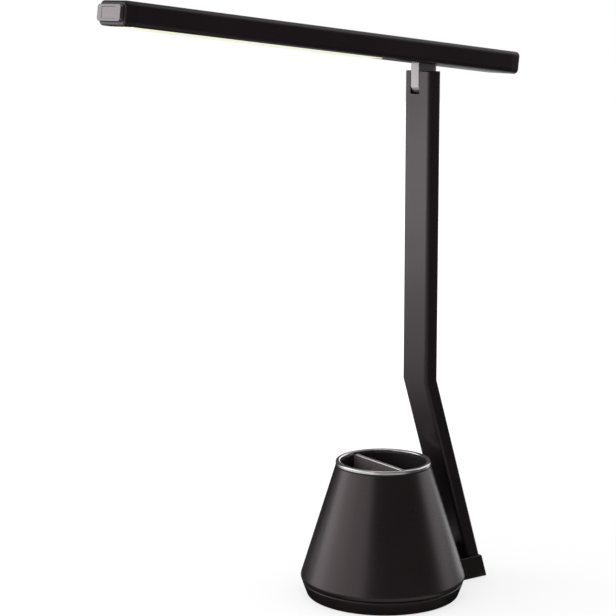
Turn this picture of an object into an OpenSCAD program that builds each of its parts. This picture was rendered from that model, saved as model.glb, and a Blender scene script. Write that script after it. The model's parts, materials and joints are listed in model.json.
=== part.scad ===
// Desk lamp with a light bar on a bent flat arm and a cone base that holds pens.
// Millimetres. +Z is up, the light bar points to -Y, and the origin is where the
// cone's axis meets the table.

/* [Base] */
// Radius of the cone where it is widest
base_r = 60.3; // [52:0.1:75]
// Height of the widest circle above the table
wide_z = 14.3; // [13.5:0.1:18]
// Radius that rounds the cone under its widest circle
lower_round = 8; // [4:0.1:12]
// Radius of the cone at its top edge
top_r = 34.8; // [33.5:0.1:40]
// Height of the base over the bright rim
base_h = 100.2; // [80:0.1:130]
// Wall of the cone
shell_wall = 2.2; // [1.5:0.1:3]
// Height of the tray that closes the base, up to the seam
tray_h = 11; // [9.6:0.1:11.6]
// How far the tray tucks in under the widest circle, at the table
tray_tuck = 4.5; // [3.5:0.1:7]
// Wall and floor of the tray
tray_wall = 2; // [1.5:0.1:2.6]
// Open line between the tray and the cone
seam_gap = 0.4; // [0.2:0.1:1]
// Thickness of the foam pad under the base
pad_t = 1.2; // [0.8:0.1:2]
// How far the pad stands below the tray
pad_proud = 0.4; // [0.2:0.1:0.6]

/* [Cup] */
// Width of the rim, from the cone's top edge to the inside of the cup
rim_w = 3.4; // [3.2:0.1:4.5]
// Wall of the cup
cup_wall = 1.2; // [0.8:0.1:1.4]
// Height of the cup's floor above the table
cup_floor_z = 20; // [18:0.5:40]
// Thickness of the cup's flange, which lies on the cone
flange_t = 1; // [0.6:0.1:2]
// Height of the bright rim ring
rim_h = 2.6; // [2:0.1:4]
// Roundness of the rim's top edges
rim_round = 1.2; // [0.4:0.1:1.5]
// Thickness of the divider
divider_t = 2.6; // [1.6:0.1:4]
// How far the divider stands forward of the cup's axis
divider_fwd = 2.7; // [0:0.1:12]
// How far the divider's bright strip lies below the rim
divider_drop = 1.3; // [0.5:0.1:10]
// Height of the bright strip
strip_h = 1; // [0.6:0.1:2]
// Bare length of divider at each end of the strip
strip_short = 1.8; // [0.5:0.1:5]

/* [Arm] */
// Width of the arm
arm_w = 28.2; // [22:0.1:34]
// Depth of the arm
arm_d = 11.4; // [8.5:0.1:13]
// Wall of the arm tube
arm_wall = 1.5; // [1:0.1:1.8]
// Place of the upright part behind the cone's axis
arm_y = 33.1; // [24:0.1:45]
// Height of the bend
bend_z = 156.5; // [120:0.5:220]
// Height of the arm's top
arm_top = 381.1; // [300:0.1:460]
// How far the arm's centre stands behind the widest circle, at the table
foot_reach = 20.5; // [19:0.1:35]
// Height of the foot block
foot_h = 17.3; // [16:0.1:22]
// Wall of the foot block beside the arm
foot_wall = 0.9; // [0.8:0.1:3]

/* [Hinge] */
// Width of the slot in the arm's top
slot_w = 9.6; // [7:0.1:12]
// Depth of the slot below the arm's top
slot_depth = 16.2; // [14:0.1:24]
// How far the slot lies to the side of the arm's middle
slot_side = -2.4; // [-4:0.1:4]
// Diameter of the hinge pin
pin_d = 4; // [3:0.1:4.5]
// Depth of the pin below the arm's top
pin_depth = 10.1; // [8:0.1:12]
// Thickness of each friction washer
washer_t = 0.3; // [0.2:0.05:0.5]
// Play between the tongue and each friction washer
washer_play = 0.1; // [0.05:0.05:0.2]
// Play between the pin and the tongue, on the radius
pin_play = 0.05; // [0.02:0.01:0.1]
// How far the neck stands out behind the arm
neck_back = 6.8; // [2:0.1:10]

/* [Light bar] */
// Width of the light bar
bar_w = 35; // [31:0.1:44]
// Height of the light bar
bar_h = 16.2; // [15:0.1:22]
// Radius on the bar's long edges
bar_round = 3.6; // [2:0.1:5]
// Wall of the bar's housing
bar_wall = 1.4; // [1:0.1:1.6]
// Length of the bar in front of the arm
bar_front = 254.5; // [180:0.5:320]
// Length of the bar behind the arm
bar_back = 74.8; // [60:0.5:120]
// Height of the bar's underside above the arm, over the arm's middle
bar_gap = 5; // [4.5:0.1:9]
// Tilt of the bar, nose up
bar_tilt = 6.73; // [-30:0.01:15]
// Length of the bezel at the nose
bezel_len = 8.5; // [8:0.1:14]
// Length of the cap at the tail
cap_len = 7.7; // [5:0.1:14]
// Width of the lip that holds the diffuser, at each side
lip_w = 3.1; // [2.6:0.1:4]
// Thickness of the diffuser's edges, which rest on the lips
diffuser_shelf = 0.9; // [0.6:0.1:1.2]
// How far the diffuser's face stands out under the bar
diffuser_proud = 0.6; // [0:0.1:1]
// Distance from the arm to the diffuser's back end
diffuser_back = 48; // [36:0.5:90]
// Number of light-emitting chips
chip_count = 30; // [12:1:48]
// Width of black bezel at each side of the bright plate
bezel_side = 2.4; // [2:0.1:3.6]
// Height of black bezel over and under the bright plate
bezel_over = 2.7; // [2:0.1:3.1]
// How far the plate stands out of the bezel
plate_proud = 2.6; // [1:0.1:4]
// Width of the push button in the plate
button_w = 18.4; // [10:0.1:19]
// Height of the push button
button_h = 7.5; // [5:0.1:8]
// Travel of the push button
button_travel = 0.8; // [0.4:0.1:0.8]

/* [Hidden] */
$fn = 96;
fine = 0.01;
fit = 0.15;

// Colours
black_coat = "#26201f";
black_plastic = "#1e1a1b";
bright = "#b9b5b6";
steel = "#8d9094";
rubber = "#151515";
board_green = "#1f4a33";
milk = "#f1f2dc";

// Base, from the table up
tray_z0 = pad_proud;
tray_under = pad_t;
floor_z = tray_under + tray_wall;
tray_r = base_r - tray_tuck;
cup_r = top_r - rim_w;
pad_r = tray_r - 3;
shell_z0 = tray_h + seam_gap;
flange_z = base_h - rim_h - flange_t;
seam_fall = wide_z - shell_z0;
seam_r = base_r - lower_round + sqrt(lower_round * lower_round - seam_fall * seam_fall);
rib_h = 2.6;
rib_t = 1.8;
rib_r = seam_r - shell_wall - fit;
post_d = 8;
boss_h = 6;
post_top = cup_floor_z - tray_wall - boss_h;
post_count = 3;
ballast_play = 0.8;
ballast_t = post_top - floor_z - ballast_play;
screw_d = 3;
head_d = 5.6;
head_t = 1.7;
head_sink = 0.2;
flat_head_t = 0.8;
head_play = 0.4;
hole_play = 0.3;

// Arm
foot_y = base_r + foot_reach;
lean = atan((foot_y - arm_y) / bend_z);
core_w = arm_w - 2 * arm_wall - 2 * fit;
core_d = arm_d - 2 * arm_wall - 2 * fit;
foot_floor = 3;
arm_z0 = foot_floor + fit;
plug_h = 22;
foot_w = arm_w + 2 * foot_wall;
foot_in_len = 18.3;
foot_in_y = base_r - foot_in_len;
lead_d = 3;
lead_hole = 4.4;
lead_z = 9;
lead_side = foot_w / 2;

// Hinge
pin_z = arm_top - pin_depth;
tongue_w = slot_w - 2 * washer_t - 2 * washer_play;
barrel_r = arm_d / 2 - 0.1;
neck_low = pin_depth - 1.5;
neck_start = pin_depth - 6;
slot_z = arm_top - slot_depth;
yoke_h = slot_depth + 12;
nut_t = 2.4;
nut_d = 6.4;
nut_x = core_w / 2 - nut_t - 0.5;

// Light bar, in its own frame: y runs to the tail, z = 0 is the underside
cover_t = 1.6;
strip_top = cover_t + 0.2;
diffuser_top = bar_wall + diffuser_shelf;
tongue_base_t = 3;
tongue_plate_y0 = -17;
tongue_plate_y1 = 21;
tongue_screw_d = 2.5;
tongue_head_d = 4.4;
tongue_head_t = 0.8;
opening_w = bar_w - 2 * lip_w;
shelf_w = opening_w + 2 * 0.8;
tongue_plate_w = opening_w - 2;
inner_w = bar_w - 2 * bar_wall;
inner_round = 0.8;
inner_top = bar_h - bar_wall;
nose_y = -bar_front;
housing_y0 = nose_y + bezel_len;
housing_y1 = bar_back - cap_len;
port_x = inner_w / 2 - 3;
port_z = inner_top - 2.8;
port_r = 2.2;
board_t = 1.5;
board_w = 2 * (port_x - port_r) - 0.6;
chip_t = 0.8;
spigot_len = 5;
plate_z = bar_h / 2;
plate_w = bar_w - 2 * bezel_side;
plate_h = bar_h - 2 * bezel_over;
front_wall_y = nose_y + 4;
front_wall_t = 2;
pocket_w = plate_w + 2 * fit;
pocket_h = plate_h + 2 * fit;
plate_y0 = nose_y - plate_proud;
plate_t = 3.5;
plate_corner = 2.2;
key_corner = 1;
collar_y = plate_y0 + plate_t + 0.05;
collar_t = 0.8;
leg_w = 3.4;
leg_h = 4;
rim_lip = 1;
switch_w = 18;
switch_h = 6;
stem_room_w = 8;
stem_room_h = 5.2;
bezel_screw_d = 1.6;
bezel_head_d = 2.4;

function head_y(count, i, y0, y1) = y0 + (y1 - y0) * (i + 0.5) / count;

// ---------------------------------------------------------------- shapes

// A rectangle with true round corners
module round_rect(w, h, r) {
    square([w - 2 * r, h], center = true);
    square([w, h - 2 * r], center = true);
    for (x = [-1, 1], y = [-1, 1])
        translate([x * (w / 2 - r), y * (h / 2 - r)]) circle(r = r);
}

// A block between two corners
module block(a, b) {
    translate(a) cube([b[0] - a[0], b[1] - a[1], b[2] - a[2]]);
}

// The arm's bent bar, w wide and d deep, between two heights
module arm_form(w, d, z0, z1) {
    half = d / 2;
    low = half / cos(lean);
    rise = half * tan(lean / 2);
    upper = z1 > bend_z ? [[arm_y + half, z1], [arm_y - half, z1]] : [];
    top = min(z1, bend_z);
    translate([-w / 2, 0, 0]) rotate([90, 0, 90]) linear_extrude(w) polygon(concat(
        [[arm_mid(z0) - low, z0], [arm_mid(z0) + low, z0]],
        z1 > bend_z ? [[arm_y + half, bend_z + rise]] :
            [[arm_mid(top) + low, top], [arm_mid(top) - low, top]],
        upper,
        z1 > bend_z ? [[arm_y - half, bend_z - rise]] : []
    ));
}

// The middle of the arm at a height under the bend
function arm_mid(z) = arm_y + tan(lean) * (bend_z - z);

// Places its children in the light bar's frame
module in_bar() {
    translate([0, arm_y, arm_top]) rotate([-bar_tilt, 0, 0]) translate([0, 0, bar_gap]) children();
}

// A bar of the outline below it, along the light bar from y0 to y1
module along_bar(y0, y1) {
    translate([0, y1, 0]) rotate([90, 0, 0]) linear_extrude(y1 - y0) children();
}

// The light bar's outline
module bar_outline() {
    translate([0, bar_h / 2]) round_rect(bar_w, bar_h, bar_round);
}

// The three places of the base screws
module at_posts() {
    for (i = [0 : post_count - 1]) rotate(30 + i * 360 / post_count) translate([post_r, 0, 0]) children();
}

// A screw with its flat head at the bottom, pointing up
module screw_up(d, head, head_h, length) {
    cylinder(d = head, h = head_h);
    cylinder(d = d, h = head_h + length);
}

// Round lead of d through the points, as one tube with a ring of corners at each point
module lead(points, d) {
    sides = 10;
    last = len(points) - 1;
    rings = [for (i = [0 : last]) let (
        go = unit(points[min(i + 1, last)] - points[i]),
        come = unit(points[i] - points[max(i - 1, 0)]),
        way = i == 0 ? go : i == last ? come : unit(go + come),
        side = unit(cross(way, [1, 0, 0])),
        up = cross(side, way)
    ) each [for (k = [0 : sides - 1]) let (t = 360 * k / sides)
        points[i] + d / 2 * (side * cos(t) + up * sin(t))]];
    walls = [for (i = [0 : last - 1], k = [0 : sides - 1]) let (
        a = i * sides + k,
        b = i * sides + (k + 1) % sides
    ) each [[a, b, b + sides], [a, b + sides, a + sides]]];
    polyhedron(rings, concat(
        walls,
        [[for (k = [0 : sides - 1]) sides - 1 - k]],
        [[for (k = [0 : sides - 1]) last * sides + k]]
    ));
}

// A vector of length 1 along v
function unit(v) = norm(v) == 0 ? [0, 0, 1] : v / norm(v);

// ---------------------------------------------------------------- base

// The cone, rounded in under its widest circle
module base_shell() {
    turn = acos((seam_r - base_r + lower_round) / lower_round);
    steps = 6;
    outer = concat(
        [for (i = [0 : steps]) let (a = -turn * (1 - i / steps))
            [base_r - lower_round + lower_round * cos(a), wide_z + lower_round * sin(a)]],
        [[top_r, flange_z]]
    );
    inner = [
        [top_r - shell_wall + fit, flange_z],
        [base_r - shell_wall, wide_z],
        [seam_r - shell_wall, shell_z0]
    ];
    color(black_coat) difference() {
        rotate_extrude($fn = 180) polygon(concat(outer, inner));
        foot_notch();
    }
}

// The room that the foot block needs in the walls of the base
module foot_notch() {
    block([-foot_w / 2 - fit, foot_in_y, floor_z], [foot_w / 2 + fit, base_r + 5, foot_h + fit]);
}

module bottom_tray() {
    step_r = rib_r - rib_t;
    color(black_plastic) difference() {
        union() {
            rotate_extrude($fn = 180) polygon([
                [0, tray_under], [pad_r + head_play, tray_under], [pad_r + head_play, tray_z0],
                [tray_r, tray_z0], [seam_r, tray_h], [rib_r, tray_h], [rib_r, tray_h + rib_h],
                [step_r, tray_h + rib_h], [step_r, tray_h], [tray_r - tray_wall, floor_z], [0, floor_z]
            ]);
            at_posts() translate([0, 0, floor_z - fine]) cylinder(d = post_d, h = post_top - floor_z + fine);
            in_board() for (x = [board_r0 + stand_in, board_r1 - stand_in], y = [-1, 1])
                translate([x, y * (driver_w / 2 - stand_in), floor_z - fine])
                    cylinder(d = 4, h = stand_h + fine);
        }
        at_posts() {
            cylinder(d = head_d + head_play, h = tray_under + head_t + head_sink);
            cylinder(d = screw_d + hole_play, h = post_top + 1);
        }
        for (x = [-1, 1]) translate([x * foot_screw_x, foot_screw_y, 0]) {
            cylinder(d = head_d + head_play, h = tray_under + flat_head_t + head_sink);
            cylinder(d = screw_d + hole_play, h = floor_z + 1);
        }
        foot_notch();
        in_board() block(
            [board_r1, -usb_w / 2 - fit, usb_z - fit],
            [base_r, usb_w / 2 + fit, usb_z + usb_h + fit]
        );
    }
}

module base_pad() {
    color(rubber) cylinder(r = pad_r, h = pad_t, $fn = 180);
}

module ballast_disc() {
    color(steel) difference() {
        translate([0, 0, floor_z]) cylinder(r = ballast_r, h = ballast_t);
        at_posts() cylinder(d = post_d + ballast_play, h = base_h);
    }
}

module base_screws() {
    length = post_top + boss_h - tray_under - head_t - 1.5;
    color(steel) at_posts() translate([0, 0, tray_under + head_sink])
        screw_up(screw_d, head_d, head_t, length);
}

module cup_liner() {
    outer_r = cup_r + cup_wall;
    color(black_plastic) difference() {
        union() {
            rotate_extrude($fn = 180) polygon([
                [0, cup_floor_z - tray_wall], [outer_r, cup_floor_z - tray_wall], [outer_r, flange_z],
                [top_r, flange_z], [top_r, flange_z + flange_t], [cup_r, flange_z + flange_t],
                [cup_r, cup_floor_z], [0, cup_floor_z]
            ]);
            at_posts() translate([0, 0, post_top]) cylinder(d = post_d, h = boss_h + fine);
        }
        at_posts() translate([0, 0, post_top - fine]) cylinder(d = screw_d, h = boss_h - 0.8);
    }
}

module rim_ring() {
    r0 = cup_r + 0.15;
    z0 = flange_z + flange_t;
    steps = 5;
    color(bright) rotate_extrude($fn = 180) polygon(concat(
        [[r0, z0], [top_r, z0]],
        [for (i = [0 : steps]) let (a = 90 * i / steps)
            [top_r - rim_round * (1 - cos(a)), base_h - rim_round * (1 - sin(a))]],
        [for (i = [0 : steps]) let (a = 90 + 90 * i / steps)
            [r0 + rim_round / 2 * (1 + cos(a)), base_h - rim_round / 2 * (1 - sin(a))]]
    ));
}

divider_top = base_h - divider_drop - strip_h;
divider_half = sqrt(cup_r * cup_r - pow(divider_fwd + divider_t / 2, 2)) - fit;

module divider_plate() {
    color(black_plastic) block(
        [-divider_half, -divider_fwd - divider_t / 2, cup_floor_z],
        [divider_half, -divider_fwd + divider_t / 2, divider_top]
    );
}

module divider_strip() {
    half = divider_half - strip_short;
    color(bright) block(
        [-half, -divider_fwd - divider_t / 2, divider_top],
        [half, -divider_fwd + divider_t / 2, divider_top + strip_h]
    );
}

// Driver board and its inlet, on the far side of the tray
board_turn = 145;
board_len = 14.4;
board_r1 = tray_r - tray_wall - 3;
board_r0 = board_r1 - board_len;
ballast_r = board_r0 - 2.5;
post_r = ballast_r - post_d - 1;
driver_w = 26;
stand_h = 1.2;
stand_in = 2.5;
driver_z = floor_z + stand_h;
driver_t = 1.6;
usb_w = 8.9;
usb_h = 3.2;
usb_len = 7.3;
usb_z = driver_z + driver_t;
usb_r1 = tray_r + (seam_r - tray_r) * 0.5;
usb_t = 0.3;
// Blocks on the board: start, end and height, from the middle of its inner edge
plug_block = [[1, -11], [6, -5], 4];
coil_block = [[7, 6], [13, 12], 3];
cap_at = [4, 3];
cap_size = 5;

module in_board() {
    rotate(board_turn) children();
}

module driver_board() {
    color(board_green) in_board() {
        block([board_r0, -driver_w / 2, driver_z], [board_r1, driver_w / 2, usb_z]);
        translate([board_r0, 0, usb_z - fine]) {
            for (b = [plug_block, coil_block])
                block([b[0][0], b[0][1], 0], [b[1][0], b[1][1], b[2]]);
            translate(cap_at) cylinder(d = cap_size, h = cap_size);
        }
    }
}

module usb_inlet() {
    color(steel) in_board() difference() {
        translate([usb_r1 - usb_len, 0, usb_z + usb_h / 2]) rotate([90, 0, 90])
            linear_extrude(usb_len) round_rect(usb_w, usb_h, 1.2);
        translate([usb_r1 - usb_len + 1, 0, usb_z + usb_h / 2]) rotate([90, 0, 90])
            linear_extrude(usb_len) round_rect(usb_w - 2 * usb_t, usb_h - 2 * usb_t, 1);
    }
}

// ---------------------------------------------------------------- arm

foot_screw_x = 9;
foot_screw_y = foot_in_y + 5;
foot_in_top = min(foot_h, tray_h + rib_h) - 1;
arm_screw_x = 7;
arm_screw_d = 2.5;
arm_head_d = 5;
arm_screw_y = arm_mid(foot_floor + 5);

// Side outline of the foot block, as depth and height
module foot_outline() {
    back = arm_d / cos(lean) / 2 + foot_wall;
    polygon([
        [foot_in_y, floor_z + fit], [base_r - 6, floor_z + fit], [base_r - 6, tray_z0],
        [arm_mid(0) + back, tray_z0], [arm_mid(foot_h) + back, foot_h],
        [base_r - 12, foot_h], [base_r - 12, foot_in_top], [foot_in_y, foot_in_top]
    ]);
}

module arm_foot() {
    room = arm_d + 2 * fit;
    color(black_coat) difference() {
        translate([-foot_w / 2, 0, 0]) rotate([90, 0, 90]) linear_extrude(foot_w) foot_outline();
        translate([0, 0, -1]) cylinder(r = tray_r + 0.8, h = floor_z + fit + 1, $fn = 180);
        arm_form(arm_w + 2 * fit, room, foot_floor, foot_h + 5);
        translate([0, arm_mid(lead_z), lead_z]) rotate([90, 0, 0]) cylinder(d = lead_hole, h = base_r);
        for (x = [-1, 1]) {
            translate([x * foot_screw_x, foot_screw_y, 0]) cylinder(d = screw_d, h = foot_in_top - 1);
            translate([x * arm_screw_x, arm_screw_y, 0]) {
                cylinder(d = arm_screw_d + hole_play, h = foot_floor + 1);
                cylinder(d = arm_head_d + head_play, h = heel_t + flat_head_t + head_sink);
            }
        }
        block(
            [-heel_w / 2 - fit, heel_y0 - fit, -1],
            [heel_w / 2 + fit, heel_y1 + fit, heel_t]
        );
    }
}

heel_t = pad_t;
heel_w = foot_w - 4;
heel_y0 = tray_r + 5;
heel_y1 = foot_y + 2.5;

module heel_pad() {
    color(rubber) block([-heel_w / 2, heel_y0, 0], [heel_w / 2, heel_y1, heel_t]);
}

module foot_screws() {
    length = foot_in_top - floor_z - 2;
    color(steel) for (x = [-1, 1]) translate([x * foot_screw_x, foot_screw_y, tray_under + head_sink])
        screw_up(screw_d, head_d, flat_head_t, length);
}

module arm_tube() {
    color(black_coat) difference() {
        arm_form(arm_w, arm_d, arm_z0, arm_top);
        arm_form(core_w + 2 * fit, core_d + 2 * fit, 0, arm_top + 1);
        slot();
        translate([0, arm_mid(lead_z), lead_z]) rotate([90, 0, 0]) cylinder(d = lead_hole, h = arm_d + 5);
    }
}

module slot() {
    translate([slot_side - slot_w / 2, arm_y - arm_d, slot_z]) cube([slot_w, 2 * arm_d, slot_depth + 1]);
}

module arm_plug() {
    color(black_plastic) difference() {
        arm_form(core_w, core_d, arm_z0, arm_z0 + plug_h);
        translate([0, arm_mid(lead_z), lead_z]) {
            rotate([90, 0, 0]) cylinder(d = lead_hole, h = arm_d + 5);
            sphere(d = lead_hole);
            rotate([lean, 0, 0]) cylinder(d = lead_hole, h = plug_h * 2);
        }
        for (x = [-1, 1]) translate([x * arm_screw_x, arm_screw_y, 0])
            cylinder(d = arm_screw_d, h = foot_floor + 9);
    }
}

module arm_screws() {
    color(steel) for (x = [-1, 1]) translate([x * arm_screw_x, arm_screw_y, heel_t + head_sink])
        screw_up(arm_screw_d, arm_head_d, flat_head_t, 8);
}

// A point of the driver board's frame in the lamp's frame
function from_board(p) = [
    p[0] * cos(board_turn) - p[1] * sin(board_turn),
    p[0] * sin(board_turn) + p[1] * cos(board_turn),
    p[2]
];

// Lead from the driver board through the foot and the arm to the yoke
module arm_lead() {
    plug_x = board_r0 + (plug_block[0][0] + plug_block[1][0]) / 2;
    plug_z = usb_z + plug_block[2] / 2;
    points = [
        from_board([plug_x, plug_block[0][1] - 0.05, plug_z]),
        from_board([plug_x, plug_block[0][1] - 4, plug_z]),
        [-lead_side, foot_in_y - 5, lead_z],
        [0, foot_in_y - 2, lead_z],
        [0, arm_mid(lead_z), lead_z],
        [0, arm_y, bend_z],
        [0, arm_y, arm_top - yoke_h + 6]
    ];
    color(rubber) lead(points, lead_d);
}

// ---------------------------------------------------------------- hinge

module hinge_yoke() {
    z0 = arm_top - yoke_h;
    color(black_plastic) difference() {
        translate([0, arm_y, z0]) linear_extrude(yoke_h) square([core_w, core_d], center = true);
        slot();
        pin_bore(pin_d, core_w);
        translate([0, arm_y, z0 - 1]) cylinder(d = lead_hole - 1, h = yoke_h - slot_depth + 2);
        translate([nut_x - 0.1, arm_y, pin_z]) rotate([0, 90, 0])
            cylinder(d = nut_d + head_play, h = 2 * nut_t);
    }
}

// A hole across the arm at the pin's height
module pin_bore(d, length) {
    translate([-length, arm_y, pin_z]) rotate([0, 90, 0]) cylinder(d = d, h = 2 * length);
}

module hinge_pin() {
    half = core_w / 2 - 0.3;
    color(steel) translate([-half, arm_y, pin_z]) rotate([0, 90, 0]) cylinder(d = pin_d, h = 2 * half);
}

module hinge_nut() {
    color(steel) difference() {
        translate([nut_x, arm_y, pin_z]) rotate([0, 90, 0]) cylinder(d = nut_d, h = nut_t);
        pin_bore(pin_d, core_w);
    }
}

module friction_washers() {
    color(steel) difference() {
        for (side = [-1, 1]) translate([slot_side + side * (slot_w - washer_t) / 2, arm_y, pin_z])
            rotate([0, 90, 0]) cylinder(d = arm_d - 1, h = washer_t, center = true);
        pin_bore(pin_d, core_w);
    }
}

// The tongue: a round end on the pin, a neck, and a plate inside the light bar
module hinge_tongue() {
    back = arm_y + arm_d / 2 + neck_back - tongue_w / 2;
    front = arm_y - barrel_r;
    tall = pin_depth + bar_gap + cover_t + 2;
    clip = 200;
    color(bright) difference() {
        union() {
            intersection() {
                translate([slot_side - tongue_w / 2, arm_y, pin_z]) rotate([90, 0, 90])
                    linear_extrude(tongue_w) tongue_outline(tall);
                translate([slot_side, 0, 0]) linear_extrude(2 * arm_top) {
                    translate([-tongue_w / 2, front]) square([tongue_w, back - front]);
                    translate([0, back]) circle(d = tongue_w);
                }
                in_bar() translate([0, 0, cover_t + fine - clip / 2]) cube(clip, center = true);
            }
            in_bar() block(
                [-tongue_plate_w / 2, tongue_plate_y0, cover_t],
                [tongue_plate_w / 2, tongue_plate_y1, cover_t + tongue_base_t]
            );
        }
        pin_bore(pin_d + 2 * pin_play, core_w);
        in_bar() at_tongue_screws() cylinder(d = tongue_screw_d, h = 2 * (cover_t + tongue_base_t));
    }
}

// Side outline of the tongue about the pin, as depth and height
module tongue_outline(tall) {
    neck_y = arm_d / 2 + neck_back;
    circle(r = barrel_r);
    polygon([
        [-barrel_r, 0], [barrel_r, 0], [barrel_r, neck_start],
        [neck_y, neck_low], [neck_y, tall], [-barrel_r, tall]
    ]);
}

module at_tongue_screws() {
    for (x = [-9, 9], y = [tongue_plate_y0 + 4, tongue_plate_y1 - 4]) translate([x, y, 0]) children();
}

module tongue_screws() {
    color(steel) in_bar() at_tongue_screws() translate([0, 0, head_sink])
        screw_up(tongue_screw_d, tongue_head_d, tongue_head_t, cover_t + tongue_base_t - 1.3);
}

// ---------------------------------------------------------------- light bar

module bar_housing() {
    color(black_coat) in_bar() along_bar(housing_y0, housing_y1) {
        difference() {
            bar_outline();
            translate([0, bar_wall + (inner_top - bar_wall) / 2])
                round_rect(inner_w, inner_top - bar_wall, inner_round);
            translate([-opening_w / 2, -1]) square([opening_w, bar_wall + 2]);
        }
        for (x = [-1, 1]) difference() {
            union() {
                translate([x * port_x, port_z]) circle(r = port_r);
                translate([x * port_x - (x < 0 ? port_r + 1 : 0), port_z - 1]) square([port_r + 1, 2]);
                translate([x * port_x - 1, port_z]) square([2, port_r + 1]);
            }
            translate([x * port_x, port_z]) circle(d = bezel_screw_d);
        }
    }
}

// The strip that fills the underside: a face between the lips and a shelf on them
module strip_outline(t, drop) {
    translate([-opening_w / 2 + fit, drop]) square([opening_w - 2 * fit, t - drop]);
    translate([-shelf_w / 2, bar_wall]) square([shelf_w, t - bar_wall]);
}

module bar_cover() {
    color(black_plastic) in_bar() difference() {
        along_bar(-diffuser_back, housing_y1) strip_outline(strip_top, 0);
        neck_room();
        block(
            [-opening_w, tongue_plate_y0 - 2 * fit, cover_t],
            [opening_w, tongue_plate_y1 + 2 * fit, cover_t + tongue_base_t]
        );
        at_tongue_screws() {
            translate([0, 0, -1]) cylinder(d = tongue_head_d + head_play, h = 1 + tongue_head_t + head_sink);
            cylinder(d = tongue_screw_d + hole_play, h = 2 * cover_t);
        }
    }
}

// The hole that the neck comes through
module neck_room() {
    play = 0.4;
    lean_room = 0.8;
    front = -arm_d / 2 - play - lean_room;
    back = arm_d / 2 + neck_back - tongue_w / 2;
    translate([slot_side, 0, -1]) linear_extrude(bar_h) {
        translate([-tongue_w / 2 - play, front]) square([tongue_w + 2 * play, back - front]);
        translate([0, back]) circle(d = tongue_w + 2 * play);
    }
}

module diffuser() {
    color(milk) in_bar() along_bar(housing_y0, -diffuser_back - fit)
        strip_outline(diffuser_top, -diffuser_proud);
}

module led_board() {
    color(milk) in_bar() block(
        [-board_w / 2, housing_y0 + 8, inner_top - board_t],
        [board_w / 2, -diffuser_back - 2, inner_top]
    );
}

module led_chips() {
    y0 = housing_y0 + 10;
    y1 = -diffuser_back - 4;
    color(milk) in_bar() for (i = [0 : chip_count - 1])
        translate([0, head_y(chip_count, i, y0, y1), inner_top - board_t - chip_t / 2])
            cube([3.5, 2.8, chip_t], center = true);
}

// Lead from the tongue's plate to the light board
module bar_lead() {
    x = 4;
    d = 2;
    low = cover_t + tongue_base_t + d / 2 + 0.05;
    high = inner_top - d / 2 - 0.15;
    end_y = -diffuser_back - 1.95;
    color(rubber) in_bar() lead([
        [x, tongue_plate_y0 + 2, low], [x, tongue_plate_y0 - 6, low],
        [x, end_y + 12, high], [x, end_y, high]
    ], d);
}

// The nose: a rounded cap with a pocket for the bright plate
module nose_bezel() {
    color(black_plastic) in_bar() difference() {
        union() {
            rounded_end(housing_y0, nose_y);
            spigot(housing_y0 - fine, housing_y0 + spigot_len);
        }
        translate([-pocket_w / 2, nose_y - 1, plate_z - pocket_h / 2])
            cube([pocket_w, front_wall_y - nose_y + 1, pocket_h]);
        translate([0, 0, plate_z]) {
            along_bar(front_wall_y + front_wall_t, nose_y + 2 * bezel_len)
                square([switch_w + 1, switch_h + 0.4], center = true);
            along_bar(front_wall_y - 1, nose_y + bezel_len) square([stem_room_w, stem_room_h], center = true);
        }
        at_bezel_screws() rotate([-90, 0, 0]) cylinder(d = bezel_screw_d + hole_play, h = 2 * bezel_len);
    }
}

// A length of the bar whose outer end is rounded off: flat_y is its inner end, tip_y its outer end
module rounded_end(flat_y, tip_y) {
    soft = 2.2;
    run = abs(tip_y - flat_y);
    intersection() {
        along_bar(min(flat_y, tip_y), max(flat_y, tip_y)) bar_outline();
        translate([0, flat_y, -1]) linear_extrude(bar_h + 2) round_rect(bar_w, 2 * run, soft);
        translate([-bar_w, flat_y, bar_h / 2]) rotate([90, 0, 90])
            linear_extrude(2 * bar_w) round_rect(2 * run, bar_h, soft);
    }
}

module spigot(y0, y1) {
    z0 = max(diffuser_top, strip_top) + 0.2;
    block([-inner_w / 2 + 2 * fit, y0, z0], [inner_w / 2 - 2 * fit, y1, port_z - port_r - 0.2]);
}

module at_bezel_screws() {
    for (x = [-1, 1]) translate([x * port_x, front_wall_y, port_z]) children();
}

module bezel_screws() {
    head = 1.1;
    color(steel) in_bar() at_bezel_screws() rotate([-90, 0, 0]) translate([0, 0, -head])
        screw_up(bezel_screw_d, bezel_head_d, head, bezel_len + 1);
}

// The bright plate round the push button
module end_plate() {
    color(bright) in_bar() difference() {
        union() {
            plate_slab(plate_w, plate_h, plate_corner, plate_y0, plate_y0 + plate_t);
            for (x = [-1, 1]) translate([x * (plate_w - leg_w) / 2, 0, plate_z])
                along_bar(plate_y0 + plate_t - fine, front_wall_y - fit)
                    square([leg_w, leg_h], center = true);
        }
        plate_slab(button_w + head_play, button_h + head_play, key_corner + head_play / 2,
            plate_y0 - 1, plate_y0 + plate_t + 1);
    }
}

module plate_slab(w, h, r, y0, y1) {
    translate([0, 0, plate_z]) along_bar(y0, y1) round_rect(w, h, r);
}

module power_button() {
    color(bright) in_bar() {
        plate_slab(button_w, button_h, key_corner, plate_y0 + 0.1, collar_y + fine);
        plate_slab(button_w + 2 * rim_lip, button_h + 2 * rim_lip, key_corner, collar_y, collar_y + collar_t);
    }
}

// The small board behind the button, with its switch
module switch_board() {
    y0 = front_wall_y + front_wall_t + 0.1;
    stem_y = collar_y + collar_t + button_travel + 0.1;
    color(board_green) in_bar() translate([0, 0, plate_z]) {
        along_bar(y0, y0 + 1) square([switch_w, switch_h], center = true);
        along_bar(front_wall_y + 0.2, y0 + fine) square([6, 4.6], center = true);
        along_bar(stem_y, front_wall_y + 0.3) circle(d = 2.5);
    }
}

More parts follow.
